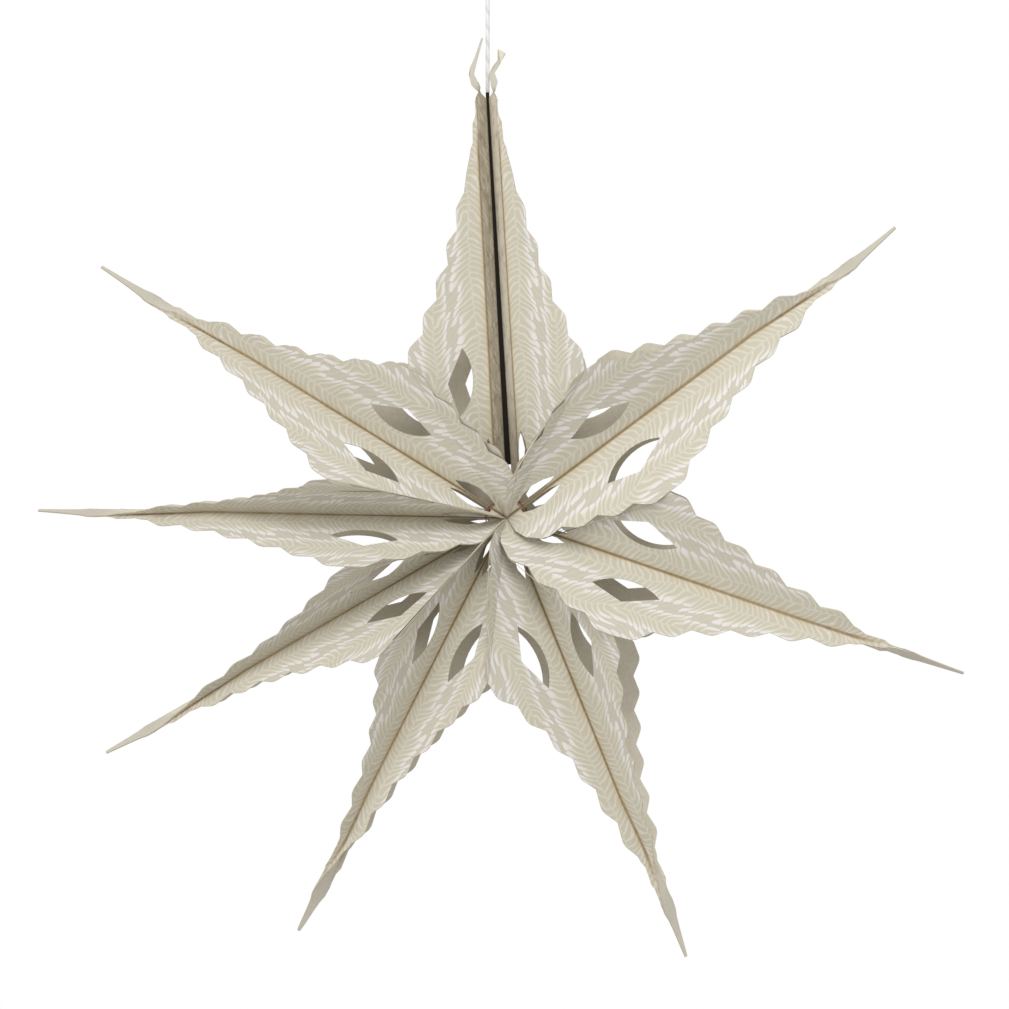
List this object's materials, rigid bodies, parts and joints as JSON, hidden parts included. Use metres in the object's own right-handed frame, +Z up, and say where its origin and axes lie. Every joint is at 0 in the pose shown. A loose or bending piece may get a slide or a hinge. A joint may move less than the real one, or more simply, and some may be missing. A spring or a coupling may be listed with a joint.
{
  "type": "hanging paper star",
  "caption": "Hanging folded paper star with long pointed arms, wavy edges, cut-out windows and a white hanging cord",
  "frame": {"origin": "the hanging point, where the cord leaves the neck of the top point, on the cord's axis", "axes": "+Z up along the cord, -Y towards the viewer of the front, +X to the viewer's right"},
  "size_m": [0.5787, 0.1106, 0.6544],
  "materials": {
    "printed_paper": "handmade cotton paper, cream print on beige",
    "closing_tape": "dark closing strip",
    "thread": "red-brown sewing thread",
    "cord": "white twisted cord"
  },
  "bodies": {
    "root": {"top_leaf_ccw": "printed_paper", "top_leaf_cw": "printed_paper", "upper_left_leaf_ccw": "printed_paper", "upper_left_leaf_cw": "printed_paper", "left_leaf_ccw": "printed_paper", "left_leaf_cw": "printed_paper", "lower_left_leaf_ccw": "printed_paper", "lower_left_leaf_cw": "printed_paper", "bottom_left_leaf_ccw": "printed_paper", "bottom_left_leaf_cw": "printed_paper", "bottom_right_leaf_ccw": "printed_paper", "bottom_right_leaf_cw": "printed_paper", "lower_right_leaf_ccw": "printed_paper", "lower_right_leaf_cw": "printed_paper", "upper_right_leaf_ccw": "printed_paper", "upper_right_leaf_cw": "printed_paper", "closing_tape": "closing_tape", "front_binding_thread": "thread", "back_binding_thread": "thread", "hanging_cord": "cord", "cord_knot": "cord", "cord_loop": "cord"}
  },
  "joints": []
}
